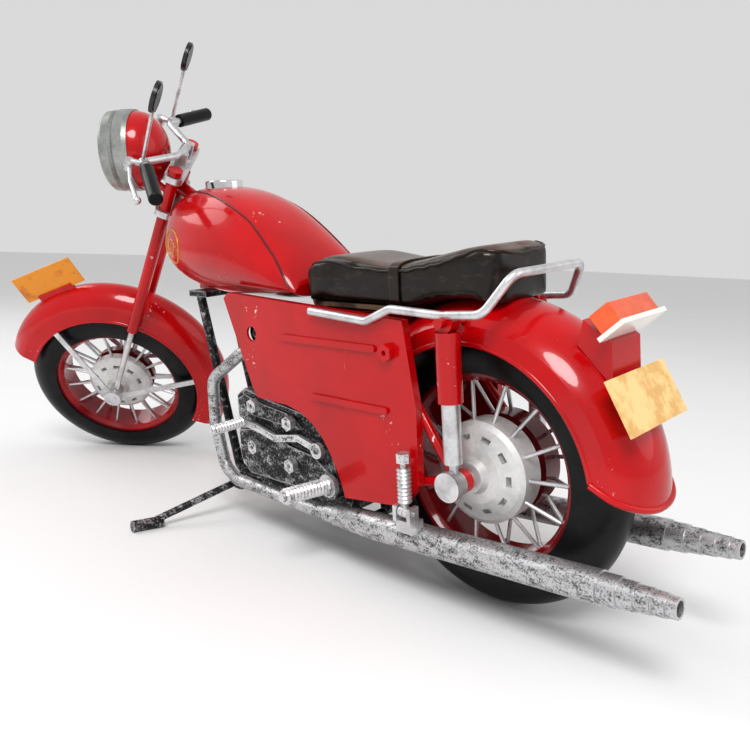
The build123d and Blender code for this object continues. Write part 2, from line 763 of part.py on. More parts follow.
def passenger_peg():
    tongue = Pos(clevis_x, clevis_y, clevis_z) * (Rot(0, 90, 0) * Cylinder(1.9, 4.0))
    neck = rod((clevis_x, clevis_y, clevis_z + 1), (clevis_x, clevis_y, clevis_z + 19), 1.1)
    coil_foot = (clevis_x, clevis_y, clevis_z + 3.2)
    coil = coil_sleeve(coil_foot, (clevis_x, clevis_y, clevis_z + 15.4), 2.5, 1.35)
    bolt = Pos(clevis_x, clevis_y, clevis_z + 17.2) * extrude(RegularPolygon(2.4, 6), 3.2)
    bore = Pos(clevis_x, clevis_y, clevis_z) * (Rot(0, 90, 0) * Cylinder(0.9 + pin_gap, 9))
    return tongue + neck + coil + bolt - bore


# ---- standing pose ----
tyre_centre_radius = tyre_bead_radius + 3.5
tyre_depth = wheel_radius - tyre_centre_radius


def lowest_point(pose, centre, axle_direction):
    """Height of the lowest point of a tyre once the bike is posed."""
    middle = (pose * Pos(*centre)).position
    tip = (pose * Pos(*(Vector(*centre) + axle_direction))).position
    tilt = (tip - middle).Z
    level = math.sqrt(1 - tilt * tilt)
    depth = math.sqrt((tyre_depth * level) ** 2 + (tyre_half_width * tilt) ** 2)
    return middle.Z - tyre_centre_radius * level - depth


front_axle_turned = Vector(0, 1, 0).rotate(Axis((0, 0, 0), fork_direction), steer_angle)
pitch = 0.0
for attempt in range(6):
    pose = Rot(0, pitch, 0) * Rot(-lean_angle, 0, 0)
    rear_low = lowest_point(pose, rear_hub, Vector(0, 1, 0))
    front_low = lowest_point(pose, front_hub, front_axle_turned)
    pitch += math.degrees((front_low - rear_low) / wheelbase)
pose = Pos(0, 0, -rear_low) * pose


# ---- side stand ----
stand_reach = Vector(7.0, 43.0, 0)
foot_radius = 2.3


def stand_foot():
    """Centre of the foot's lower end, where the posed foot just touches the ground."""
    level = stand_pivot + stand_reach
    high = (pose * Pos(*level)).position.Z
    low = (pose * Pos(*(level - Vector(0, 0, 10)))).position.Z
    drop = 10 * (high - foot_radius) / (high - low)
    return level - Vector(0, 0, drop)


def stand_parts():
    foot = stand_foot()
    way = (foot - stand_pivot).normalized()
    eye = Pos(*stand_pivot) * Cylinder(2.9, 2 * stand_eye_half)
    bore = Pos(*stand_pivot) * Cylinder(stand_pin_radius + pin_gap, 20)
    leg = rod(stand_pivot + way * 2.0, foot - way * 4.0, 1.5)
    flat = Vector(way.X, way.Y, 0).normalized()
    drop_rate = ((pose * Pos(*(foot + flat))).position.Z - (pose * Pos(*foot)).position.Z)
    up_rate = ((pose * Pos(*(foot + Vector(0, 0, 1)))).position.Z - (pose * Pos(*foot)).position.Z)
    level_way = (flat - Vector(0, 0, drop_rate / up_rate)).normalized()
    sleeve = rod(foot - level_way * 6.5, foot + level_way * 6.5, foot_radius)
    return {"side_stand": eye + leg + sleeve - bore}


# ---- fork, bars and headlight ----
fork_frame = Plane(
    origin=along_fork(0),
    x_dir=Vector(*along_fork(0, 1)) - Vector(*along_fork(0)),
    z_dir=fork_direction,
)
bar_radius = 1.6
bar_line = 141.8
upper_yoke_at = 134.2
fork_eye_thickness = 3.6


def fork_parts():
    tube = Pos(0, fork_half_spacing, 90.5) * Cylinder(fork_tube_radius, 2 * (90.5 - fork_rod_exposed))
    cap = Pos(0, fork_half_spacing, 137.2) * Cylinder(fork_tube_radius + 0.5, 2.4)
    rod_bar = Cylinder(fork_rod_radius, fork_rod_exposed - 1.9)
    rod_bar = Pos(0, fork_half_spacing, (fork_rod_exposed + 1.9) / 2) * rod_bar
    tubes = fork_frame * (tube + cap)
    rods = fork_frame * rod_bar
    at_eye = Plane(origin=(wheelbase, fork_half_spacing, wheel_radius), z_dir=(0, 1, 0))
    eye = at_eye * Cylinder(3.6, fork_eye_thickness)
    bore = at_eye * Cylinder(front_axle_radius, 9)
    yoke = Box(8.4, 2 * fork_half_spacing + 7.4, yoke_thickness)
    yoke = fillet(yoke.edges().filter_by(Axis.Z), 3.0)
    lower = Pos(0, 0, 116.4) * yoke
    upper = Pos(0, 0, upper_yoke_at) * yoke
    both = both_sides(tube + cap)
    stem = Pos(0, 0, 126.2) * Cylinder(stem_radius, 22.0)
    stem_nut = Pos(0, 0, upper_yoke_at + 1.5) * extrude(RegularPolygon(3.6, 6), 2.4)
    lower = (lower - both) + stem
    upper = (upper - both - Pos(0, 0, 126.2) * Cylinder(stem_radius, 40)) + (
        stem_nut - Pos(0, 0, 126.2) * Cylinder(stem_radius, 22.0)
    )
    studs = []
    for sign in (1, -1):
        guard_side = along_fork(50.0, 0, sign * 10.1)
        studs.append(rod(guard_side, along_fork(50.0, 0, sign * (fork_half_spacing - 2.0)), 1.4))
    for sign in (1, -1):
        tube_side = along_fork(126.0, 1.0, sign * (fork_half_spacing - 1.5))
        studs.append(rod(tube_side, (184.6, sign * 14.2, 161.4), 1.5))
    return {
        "fork_tubes": welded(tubes, mirrored(tubes), *studs) - headlight_shell() - front_guard(),
        "fork_rods": both_sides(rods + eye - bore),
        "lower_yoke": fork_frame * lower,
        "upper_yoke": fork_frame * upper,
    }


bar_points = [
    (169.2, 48.5, 161.6), (177.0, 27.0, 167.6), (179.2, 22.5, 168.6), (169.8, 8.5, 163.4),
]


def bar_parts():
    centre = along_fork(bar_line)
    points = bar_points + [(centre[0], 4.0, centre[2]), (centre[0], -4.0, centre[2])]
    points += [(x, -y, z) for x, y, z in reversed(bar_points)]
    bar = bent_rod(points, bar_radius, [3, 3, 2.5, 2, 2, 2.5, 3, 3])
    clamps = []
    for sign in (1, -1):
        post = Pos(0, sign * 6.0, upper_yoke_at + 4.9) * Box(4.6, 3.4, 6.8)
        clamps.append(fork_frame * post)
    grips = []
    outer, inner = Vector(*bar_points[0]), Vector(*bar_points[1])
    way = (outer - inner).normalized()
    grip = rod(inner + way * 1.2, outer + way * 0.8, grip_radius)
    grip = fillet(grip.edges(), 0.7)
    grip -= rod(inner - way, outer, bar_radius)
    perch_from = Vector(178.3, 24.4, 168.2)
    arm = rod(perch_from, lever_pivot_point + lever_frame.z_dir * 1.8, 1.3)
    ring_way = Vector(*bar_points[1]) - Vector(*bar_points[2])
    collar = Plane(origin=perch_from, z_dir=ring_way) * Cylinder(2.5, 3.2)
    seat_disc = lever_frame * (Pos(0, 0, 1.8) * Cylinder(2.4, 1.2))
    pin = lever_frame * (Cylinder(0.9, 4.0) + Pos(0, 0, -2.0) * Cylinder(1.7, 1.0))
    perch = arm + collar + seat_disc + pin
    perch -= lever_frame * (Pos(0, 0, -0.15) * (Cylinder(3.6, 2.7) - Cylinder(0.9, 5)))
    stem = rod((178.6, 25.2, 169.2), (164.6, 27.2, 189.6), 0.8)
    mirror_way = Vector(-14.4, 0, 20.6).normalized()
    back_way = Vector(-mirror_way.Z, 0, mirror_way.X)
    head_at = Vector(164.6, 27.2, 189.6) + mirror_way * 5.8
    head = Plane(origin=head_at, z_dir=back_way) * Cylinder(6.4, 1.6)
    head = head + rod((164.6, 27.2, 189.6), Vector(164.6, 27.2, 189.6) + mirror_way * 3, 1.4)
    glass = Cylinder(5.6, 0.5, align=(Align.CENTER, Align.CENTER, Align.MIN))
    glass = Plane(origin=head_at + back_way * 0.8, z_dir=back_way) * glass
    return {
        "handlebar": welded(bar, *clamps, perch, mirrored(perch)),
        "grips": both_sides(grip),
        "mirrors": both_sides(head + stem + glass),
    }


lever_pivot_point = Vector(184.2, 25.6, 169.9)
lever_frame = Plane(origin=lever_pivot_point, x_dir=(0.76, 0, 0.65), z_dir=(-0.65, 0.0, 0.76))


def hand_lever():
    eye = lever_frame * Cylinder(2.3, 2.0)
    bore = lever_frame * Cylinder(0.9 + pin_gap, 12)
    tip = Vector(176.2, 50.0, 163.2)
    knee = Vector(181.6, 37.0, 166.6)
    first = rod(lever_pivot_point + (knee - lever_pivot_point).normalized() * 1.4, knee, 0.9)
    second = rod(knee, tip, 0.9)
    blade = eye + first + second + Pos(*knee) * Sphere(0.9) + Pos(*tip) * Sphere(1.7)
    return blade - bore


headlight_tilt = math.radians(10.0)
headlight_frame = Plane(
    origin=(175.4, 0, 164.4), x_dir=(0, 1, 0), z_dir=(math.cos(headlight_tilt), 0, math.sin(headlight_tilt))
)


def headlight_shell():
    """Domed cup behind the headlight rim."""
    dome = make_face([
        *Spline((0.01, 0.0), (9.0, 2.0), (14.6, 6.5), (17.0, 13.0), tangents=((1, 0), (0.12, 1))).edges(),
        *Polyline((17.0, 13.0), (16.0, 13.0)).edges(),
        *Spline((16.0, 13.0), (13.7, 7.0), (8.6, 3.1), (0.01, 1.2), tangents=((-0.12, -1), (-1, 0))).edges(),
        *Polyline((0.01, 1.2), (0.01, 0.0)).edges(),
    ])
    return headlight_frame * revolve(Plane.XZ * dome, Axis.Z, 360)


def headlight_parts():
    ring = make_face(Polyline(
        (15.2, 13.0), (17.6, 13.0), (17.9, 15.0), (17.9, 19.0), (16.9, 20.2), (17.6, 21.4),
        (17.3, 24.6), (16.0, 26.0), (15.0, 25.4), (15.2, 19.0), close=True,
    ))
    rim_ring = headlight_frame * revolve(Plane.XZ * ring, Axis.Z, 360)
    glass = make_face([
        *Polyline((0.01, 23.6), (14.8, 21.6), (14.8, 23.2)).edges(),
        *Spline((14.8, 23.2), (8.0, 25.6), (0.01, 26.4)).edges(),
        *Polyline((0.01, 26.4), (0.01, 23.6)).edges(),
    ])
    lens = headlight_frame * revolve(Plane.XZ * glass, Axis.Z, 360)
    return {
        "headlight_shell": headlight_shell(),
        "headlight_rim": rim_ring,
        "headlight_lens": lens,
    }


stay_side = fork_half_spacing + fork_eye_thickness / 2 + 0.45
axle_nut_side = stay_side + 0.45


def front_guard():
    """Front mudguard skin."""
    return guard(
        front_hub, front_guard_radius, front_guard_half_width, guard_bead_radius,
        front_guard_start, front_guard_end,
    )


def front_guard_parts():
    skin = front_guard()
    stays = []
    for sign in (1, -1):
        for angle in (70.0, 184.0):
            outside = sign * (front_guard_half_width + 0.9)
            top = Vector(*radial(front_hub, guard_bead_radius - 0.5, angle, outside))
            knee = Vector(*radial(front_hub, 7.0, angle, sign * stay_side))
            hub = Vector(wheelbase, sign * stay_side, wheel_radius)
            flat = Plane(origin=(knee + hub) * 0.5, x_dir=knee - hub, z_dir=(0, 1, 0)) * Box(7.0, 3.0, 0.8)
            way = top - knee
            square = way.cross(Vector(0, 1, 0)).cross(way)
            strip = Box(way.length + 0.6, 3.0, 0.8)
            strip = Plane(origin=(top + knee) * 0.5, x_dir=way, z_dir=square) * strip
            eye = Plane(origin=hub, z_dir=(0, 1, 0)) * Cylinder(2.8, 0.8)
            bore = Plane(origin=hub, z_dir=(0, 1, 0)) * Cylinder(front_axle_radius, 9)
            stays.append(strip + flat + eye - bore)
    left = stays[0] + stays[1]
    right = stays[2] + stays[3]
    angle = math.radians(79.6)
    out = Vector(math.cos(angle), 0, math.sin(angle))
    board_low = front_guard_radius + 0.6
    centre = Vector(*front_hub) + out * (board_low + 7.1)
    board = Plane(origin=centre, x_dir=out, z_dir=(0, 1, 0)) * Box(14.2, 35.2, 1.0)
    base_at = Vector(*front_hub) + out * (board_low - 0.6)
    base = Plane(origin=base_at, x_dir=out, z_dir=(0, 1, 0)) * Box(4.6, 20.0, 3.2)
    room = guard_block(front_hub, front_guard_radius, front_guard_half_width, guard_bead_radius)
    base = base - room - board
    axle_reach = axle_nut_side + 2.7
    axle_end = (wheelbase, axle_reach, wheel_radius)
    axle = rod((wheelbase, -axle_reach, wheel_radius), axle_end, front_axle_radius)
    nuts = []
    for sign in (1, -1):
        start = Plane(origin=(wheelbase, sign * axle_nut_side, wheel_radius), z_dir=(0, sign, 0))
        nuts.append(start * Cylinder(4.4, 2.2, align=(Align.CENTER, Align.CENTER, Align.MIN)))
    return {
        "front_mudguard": welded(skin, base),
        "mudguard_stays": group(left, right),
        "front_number_plate": board,
        "front_axle": welded(axle, *nuts),
    }


# ---- put the bodies together ----
def wheel_parts(name, centre, count, radius, face, bore, turn):
    wires = spokes(centre, count, radius - 1.0, face - 5.5, turn)
    left_wires = [wire for wire in wires.solids() if wire.center().Y > 0]
    right_wires = [wire for wire in wires.solids() if wire.center().Y < 0]
    return {
        name + "_tyre": tyre(centre),
        name + "_rim": rim(centre) - wires.solids(),
        name + "_spokes": wires,
        name + "_drum_left": drum(centre, 1, radius, face, 10, bore, left_wires),
        name + "_drum_right": drum(centre, -1, radius, face, 10, bore, right_wires),
    }


bodies = {
    "frame": {
        **frame_parts(), **engine_parts(), **peg_parts(), **exhaust_parts(), **panel_parts(),
        **tank_parts(), **seat_parts(), **rear_parts(), **shock_parts(), **axle_parts(),
        "peg_clevises": both_sides(clevis()),
    },
    "rear_wheel": wheel_parts(
        "rear", rear_hub, rear_spokes, rear_drum_radius, 13.5, rear_axle_radius + running_gap, 0.0
    ),
    "steering": {**fork_parts(), **bar_parts(), **headlight_parts(), **front_guard_parts()},
    "front_wheel": wheel_parts(
        "front", front_hub, front_spokes, front_drum_radius, 9.0, front_axle_radius + running_gap, 0.3
    ),
    "gear_lever": {"gear_lever": gear_lever()},
    "side_stand": stand_parts(),
    "peg_left": {"passenger_peg_left": passenger_peg()},
    "peg_right": {"passenger_peg_right": mirrored(passenger_peg())},
    "lever_left": {"hand_lever_left": hand_lever()},
    "lever_right": {"hand_lever_right": mirrored(hand_lever())},
}
turned_bodies = ("steering", "front_wheel", "lever_left", "lever_right")


def posed(shape, turned):
    """A piece as it stands: front end turned, then the whole model leaning on its stand."""
    if turned:
        shape = shape.rotate(steering_axis, steer_angle)
    return shape.moved(pose)


finished = {}
for body, nodes in bodies.items():
    for node, shape in nodes.items():
        finished[node] = posed(shape, body in turned_bodies)
boxes = [shape.bounding_box() for shape in finished.values()]
low = Vector(min(b.min.X for b in boxes), min(b.min.Y for b in boxes), min(b.min.Z for b in boxes))
high = Vector(max(b.max.X for b in boxes), max(b.max.Y for b in boxes), max(b.max.Z for b in boxes))
centring = Pos(-(low.X + high.X) / 2, -(low.Y + high.Y) / 2, -low.Z)

os.makedirs("parts", exist_ok=True)
for node, shape in finished.items():
    export_step(shape.moved(centring), "parts/" + node + ".step")


def placed(point, direction, turned):
    """Point and direction in the finished frame."""
    start, way = Vector(*point), Vector(*direction).normalized()
    standing = centring * pose
    if turned:
        standing = standing * fork_frame.location * Rot(0, 0, steer_angle) * fork_frame.location.inverse()
    end = (standing * Pos(*(start + way))).position
    start = (standing * Pos(*start)).position
    return tuple(start), tuple((end - start).normalized())


pivots = {
    "steering": (along_fork(125.0), fork_direction, False),
    "front_wheel": (front_hub, (0, 1, 0), True),
    "rear_wheel": (rear_hub, (0, 1, 0), False),
    "gear_lever": ((lever_pivot[0], cover_face + 1, lever_pivot[1]), (0, 1, 0), False),
    "side_stand": (stand_pivot, (0, 0, 1), False),
    "peg_left": ((clevis_x, clevis_y, clevis_z), (-1, 0, 0), False),
    "peg_right": ((clevis_x, -clevis_y, clevis_z), (1, 0, 0), False),
    "lever_left": (lever_pivot_point, lever_frame.z_dir, True),
    "lever_right": (
        (lever_pivot_point.X, -lever_pivot_point.Y, lever_pivot_point.Z), lever_frame.z_dir, True
    ),
}
for joint, (point, direction, turned) in pivots.items():
    print("joint", joint, *placed(point, direction, turned))
print("nodes", len(finished), "size", high - low)
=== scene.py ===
import json
import math
import bpy
from mathutils import Matrix, Vector
from mathutils.bvhtree import BVHTree


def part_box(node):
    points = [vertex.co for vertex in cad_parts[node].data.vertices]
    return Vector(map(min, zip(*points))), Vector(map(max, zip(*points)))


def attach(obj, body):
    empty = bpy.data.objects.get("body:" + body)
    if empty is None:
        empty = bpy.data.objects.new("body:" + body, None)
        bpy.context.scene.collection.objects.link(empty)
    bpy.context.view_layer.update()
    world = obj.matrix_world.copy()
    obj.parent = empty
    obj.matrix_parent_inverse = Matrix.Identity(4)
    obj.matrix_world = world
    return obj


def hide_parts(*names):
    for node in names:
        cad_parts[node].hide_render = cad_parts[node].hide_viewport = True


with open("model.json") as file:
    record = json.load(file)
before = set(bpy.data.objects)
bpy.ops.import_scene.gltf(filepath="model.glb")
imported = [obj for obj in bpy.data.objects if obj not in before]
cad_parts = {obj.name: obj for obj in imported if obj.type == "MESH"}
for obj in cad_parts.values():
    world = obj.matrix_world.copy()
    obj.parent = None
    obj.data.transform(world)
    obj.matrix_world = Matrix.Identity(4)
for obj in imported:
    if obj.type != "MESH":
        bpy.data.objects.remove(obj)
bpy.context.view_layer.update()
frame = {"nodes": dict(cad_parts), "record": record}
nodes = frame["nodes"]
print("frame loaded", len(nodes))


def dropSelection():
    if bpy.context.object and bpy.context.object.mode != "OBJECT":
        bpy.ops.object.mode_set(mode="OBJECT")
    bpy.ops.object.select_all(action="DESELECT")


def pickOnly(piece):
    dropSelection()
    piece.select_set(True)
    bpy.context.view_layer.objects.active = piece


def settle(piece):  # place goes into the mesh, the object back to the origin
    pickOnly(piece)
    bpy.ops.object.transform_apply(location=True, rotation=True, scale=True)


def applyAll(piece):
    pickOnly(piece)
    for modifier in list(piece.modifiers):
        bpy.ops.object.modifier_apply(modifier=modifier.name)


def smoothed(piece, angle=35):
    pickOnly(piece)
    bpy.ops.object.shade_smooth_by_angle(angle=math.radians(angle))


def handOver(piece, body, material):
    piece.data.materials.clear()
    piece.data.materials.append(material)
    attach(piece, body)


# the model leans on its stand: places measured in mm on the upright machine are turned into the frame
leanFrame = Matrix((
    (0.999836, -0.001892, 0.018005, -0.110459),
    (0.0, 0.994522, 0.104528, -0.011658),
    (-0.018105, -0.104511, 0.994359, 0.000060),
    (0, 0, 0, 1),
))
steerFrame = Matrix((
    (0.796304, -0.590790, -0.129869, -0.0522745),
    (0.563593, 0.646657, 0.514003, -0.172775),
    (-0.219687, -0.482496, 0.847901, 0.0576876),
    (0, 0, 0, 1),
))


def upright(x, y, z):
    return leanFrame @ Vector((x / 1000, y / 1000, z / 1000))


def steered(x, y, z):
    return steerFrame @ Vector((x / 1000, y / 1000, z / 1000))


class Shade:  # a node tree with short ways to add to it
    def __init__(self, name):
        self.material = bpy.data.materials.new(name)
        self.material.use_nodes = True
        self.tree = self.material.node_tree
        self.surface = self.tree.nodes["Principled BSDF"]
        self.place = self.add("ShaderNodeTexCoord").outputs["Object"]

    def add(self, kind, **values):
        node = self.tree.nodes.new(kind)
        for key, value in values.items():
            setattr(node, key, value)
        return node

    def join(self, source, target):
        self.tree.links.new(source, target)

    def noise(self, scale, detail=4.0, roughness=0.55, stretch=None, distortion=0.0):
        node = self.add("ShaderNodeTexNoise")
        node.inputs["Scale"].default_value = scale
        node.inputs["Detail"].default_value = detail
        node.inputs["Roughness"].default_value = roughness
        node.inputs["Distortion"].default_value = distortion
        place = self.place
        if stretch:
            turn = self.add("ShaderNodeMapping")
            turn.inputs["Scale"].default_value = stretch
            self.join(self.place, turn.inputs["Vector"])
            place = turn.outputs["Vector"]
        self.join(place, node.inputs["Vector"])
        return node.outputs["Fac"]

    def cells(self, scale):
        node = self.add("ShaderNodeTexVoronoi", feature="F1")
        node.inputs["Scale"].default_value = scale
        self.join(self.place, node.inputs["Vector"])
        return node.outputs["Distance"]

    def ramp(self, source, stops):
        node = self.add("ShaderNodeValToRGB")
        band = node.color_ramp
        while len(band.elements) < len(stops):
            band.elements.new(0.5)
        for element, (place, colour) in zip(band.elements, stops):
            element.position = place
            element.color = (*colour, 1) if len(colour) == 3 else colour
        self.join(source, node.inputs["Fac"])
        return node.outputs["Color"]

    def blend(self, factor, first, second, mode="MIX"):
        node = self.add("ShaderNodeMix", data_type="RGBA", blend_type=mode)
        for socket, value in ((node.inputs[6], first), (node.inputs[7], second)):
            if isinstance(value, tuple):
                socket.default_value = (*value, 1)
            else:
                self.join(value, socket)
        if isinstance(factor, float):
            node.inputs[0].default_value = factor
        else:
            self.join(factor, node.inputs[0])
        return node.outputs[2]

    def levels(self, source, low, high):  # a texture turned into a roughness or a mask
        node = self.add("ShaderNodeMapRange")
        node.inputs["To Min"].default_value = low
        node.inputs["To Max"].default_value = high
        self.join(source, node.inputs["Value"])
        return node.outputs["Result"]

    def edges(self, width, amount):  # pale along the corners, where hands and brushes rub
        rounded = self.add("ShaderNodeBevel", samples=4)
        rounded.inputs["Radius"].default_value = width
        plain = self.add("ShaderNodeNewGeometry")
        match = self.add("ShaderNodeVectorMath", operation="DOT_PRODUCT")
        self.join(rounded.outputs["Normal"], match.inputs[0])
        self.join(plain.outputs["Normal"], match.inputs[1])
        return self.ramp(match.outputs["Value"], [(0.90, (amount, amount, amount)), (0.995, (0, 0, 0))])

    def colour(self, source):
        self.join(source, self.surface.inputs["Base Color"])

    def rough(self, source):
        self.join(source, self.surface.inputs["Roughness"])

    def bumps(self, layers):  # (texture, strength, depth) laid one over another
        last = None
        for source, strength, depth in layers:
            node = self.add("ShaderNodeBump")
            node.inputs["Strength"].default_value = strength
            node.inputs["Distance"].default_value = depth
            self.join(source, node.inputs["Height"])
            if last:
                self.join(last, node.inputs["Normal"])
            last = node.outputs["Normal"]
        self.join(last, self.surface.inputs["Normal"])


shine = {"coat": 0.6, "coatRough": 0.05, "wave": 0.16}


def glossPaint(name, deep, bright, chipped, chipAt, coat=shine["coat"]):
    shade = Shade(name)
    base = shade.ramp(shade.noise(24.0, 4.0), [(0.35, deep), (0.65, bright)])
    specks = shade.ramp(shade.noise(520.0, 3.0, 0.6), [(chipAt, (0, 0, 0)), (chipAt + 0.02, (1, 1, 1))])
    where = shade.ramp(shade.noise(45.0, 2.0), [(0.60, (0, 0, 0)), (0.66, (1, 1, 1))])
    chips = shade.blend(1.0, specks, where, "MULTIPLY")
    shade.colour(shade.blend(chips, base, chipped))
    shade.rough(shade.levels(shade.noise(140.0, 3.0), 0.17, 0.30))
    shade.surface.inputs["Coat Weight"].default_value = coat
    shade.surface.inputs["Coat Roughness"].default_value = shine["coatRough"]
    shade.surface.inputs["Specular IOR Level"].default_value = 0.2
    waves, dust = shade.noise(38.0, 2.0), shade.noise(900.0, 2.0)
    shade.bumps([(waves, shine["wave"], 0.0006), (dust, 0.05, 0.0001), (chips, 0.25, -0.0001)])
    return shade.material


def metalPaint(name, dark, bright, low, high, metallic, grain=700.0, bump=0.10):
    shade = Shade(name)
    clouds = shade.noise(120.0, 5.0, 0.6)
    fine = shade.noise(grain, 4.0, 0.6)
    base = shade.ramp(clouds, [(0.28, dark), (0.58, bright)])
    shade.colour(shade.blend(0.30, base, shade.ramp(fine, [(0.3, dark), (0.7, bright)])))
    shade.rough(shade.levels(clouds, low, high))
    shade.surface.inputs["Metallic"].default_value = metallic
    shade.bumps([(fine, bump, 0.0002), (clouds, 0.12, 0.0004)])
    return shade.material


def rubbedMetal(name, dark, bright, amount, fineness=1.0, bump=0.45, worn=0.16):
    shade = Shade(name)
    rub = shade.noise(700.0 * fineness, 7.0, 0.70, distortion=0.3)
    patches = shade.noise(170.0 * fineness, 5.0, 0.6, stretch=(0.7, 1.0, 1.5))
    mask = shade.blend(1.0, shade.blend(0.40, rub, patches), shade.edges(0.0009, worn), "ADD")
    middle = tuple(0.42 * b + 0.3 * d for b, d in zip(bright, dark))
    shade.colour(shade.ramp(mask, [(amount - 0.05, dark), (amount + 0.01, middle), (amount + 0.07, bright)]))
    shade.rough(shade.ramp(mask, [(0.4, (0.50, 0.50, 0.50)), (0.62, (0.30, 0.30, 0.30))]))
    sheen = shade.ramp(mask, [(amount - 0.03, (0.3, 0.3, 0.3)), (amount + 0.05, (0.85, 0.85, 0.85))])
    shade.join(sheen, shade.surface.inputs["Metallic"])
    shade.bumps([(rub, bump, 0.0002), (patches, 0.25, 0.0004)])
    return shade.material


def rubber(name, deep, pale, roughLow, roughHigh, grain):
    shade = Shade(name)
    dust = shade.noise(55.0, 6.0, 0.6)
    shade.colour(shade.ramp(dust, [(0.40, deep), (0.80, pale)]))
    shade.rough(shade.levels(dust, roughLow, roughHigh))
    shade.surface.inputs["Specular IOR Level"].default_value = 0.28
    shade.bumps([(shade.noise(grain, 3.0), 0.10, 0.0002), (shade.noise(70.0, 2.0), 0.12, 0.0005)])
    return shade.material


def seatHide(name, top, side):
    shade = Shade(name)
    up = shade.add("ShaderNodeSeparateXYZ")  # painted light: the hide is lighter brown where it faces up, as if lit from above, and darker on the sides as painted shade
    shade.join(shade.add("ShaderNodeNewGeometry").outputs["Normal"], up.inputs["Vector"])
    topLight = shade.ramp(up.outputs["Z"], [(0.55, (0, 0, 0)), (0.93, (1, 1, 1))])
    clouds = shade.noise(110.0, 6.0, 0.62)
    rubs = shade.noise(420.0, 5.0, 0.6, stretch=(0.4, 1.0, 1.0))
    scuffs = shade.ramp(rubs, [(0.56, (0, 0, 0)), (0.66, (0.7, 0.7, 0.7))])
    # the lit top tone and the shaded side tone are painted light and painted shade on one leather
    litTop = shade.ramp(clouds, [(0.30, tuple(0.42 * c for c in top)), (0.68, top)])
    shadedSide = shade.ramp(clouds, [(0.30, tuple(0.4 * c for c in side)), (0.72, side)])
    shadedSide = shade.blend(scuffs, shadedSide, tuple(2.6 * c for c in side))
    shade.colour(shade.blend(topLight, shadedSide, litTop))
    grain = shade.cells(1700.0)
    shade.rough(shade.levels(clouds, 0.22, 0.38))
    shade.surface.inputs["Specular IOR Level"].default_value = 0.3
    shade.surface.inputs["Coat Weight"].default_value = 0.25
    shade.surface.inputs["Coat Roughness"].default_value = 0.16
    shade.bumps([(grain, 0.20, 0.0001), (shade.noise(240.0, 4.0, 0.6), 0.35, 0.0004)])
    return shade.material


def agedPlate(name, clean, stain, stainAt, gloss):
    shade = Shade(name)
    patches = shade.noise(110.0, 7.0, 0.65)
    scratches = shade.noise(300.0, 4.0, 0.6, stretch=(1.0, 0.25, 1.0))
    base = shade.ramp(patches, [(stainAt - 0.07, stain), (stainAt + 0.05, clean)])
    lines = shade.ramp(scratches, [(0.66, (0, 0, 0)), (0.72, (0.5, 0.5, 0.5))])
    shade.colour(shade.blend(lines, base, tuple(0.55 * c for c in stain)))
    shade.rough(shade.levels(patches, gloss + 0.15, gloss))
    shade.surface.inputs["Coat Weight"].default_value = 0.3
    shade.bumps([(patches, 0.15, 0.0003)])
    return shade.material


def ribbedLens(name, deep, bright, ribs):
    shade = Shade(name)
    wave = shade.add("ShaderNodeTexWave", wave_type="BANDS", bands_direction="Y", wave_profile="SIN")
    wave.inputs["Scale"].default_value = ribs
    shade.join(shade.place, wave.inputs["Vector"])
    shade.colour(shade.ramp(shade.noise(120.0, 4.0), [(0.3, deep), (0.7, bright)]))
    shade.rough(shade.levels(shade.noise(300.0, 3.0), 0.12, 0.26))
    shade.surface.inputs["Coat Weight"].default_value = 0.7
    shade.surface.inputs["Subsurface Weight"].default_value = 0.15
    shade.surface.inputs["Subsurface Scale"].default_value = 0.003
    shade.bumps([(wave.outputs["Fac"], 0.30, 0.0004)])
    return shade.material


mirrorHeads = {"centres": [(161.29, 27.2, 194.34), (161.29, -27.2, 194.34)], "radius": 0.0066}


def mirrorShade(name):
    shade = Shade(name)
    nearest = None
    for centre in mirrorHeads["centres"]:
        gap = shade.add("ShaderNodeVectorMath", operation="DISTANCE")
        shade.join(shade.place, gap.inputs[0])
        gap.inputs[1].default_value = steered(*centre)
        if nearest:
            both = shade.add("ShaderNodeMath", operation="MINIMUM")
            shade.join(nearest, both.inputs[0])
            shade.join(gap.outputs["Value"], both.inputs[1])
            nearest = both.outputs["Value"]
        else:
            nearest = gap.outputs["Value"]
    inHead = shade.add("ShaderNodeMath", operation="LESS_THAN")
    shade.join(nearest, inHead.inputs[0])
    inHead.inputs[1].default_value = mirrorHeads["radius"]
    clouds = shade.noise(260.0, 4.0)
    silver = shade.ramp(clouds, [(0.3, (0.42, 0.42, 0.43)), (0.65, (0.74, 0.74, 0.75))])
    black = shade.ramp(clouds, [(0.3, (0.008, 0.008, 0.009)), (0.7, (0.03, 0.03, 0.03))])
    shade.colour(shade.blend(inHead.outputs["Value"], silver, black))
    shade.rough(shade.levels(clouds, 0.22, 0.36))
    sheen = shade.ramp(inHead.outputs["Value"], [(0.0, (0.8, 0.8, 0.8)), (1.0, (0.0, 0.0, 0.0))])
    shade.join(sheen, shade.surface.inputs["Metallic"])
    shade.bumps([(shade.noise(800.0, 3.0), 0.08, 0.0002)])
    return shade.material


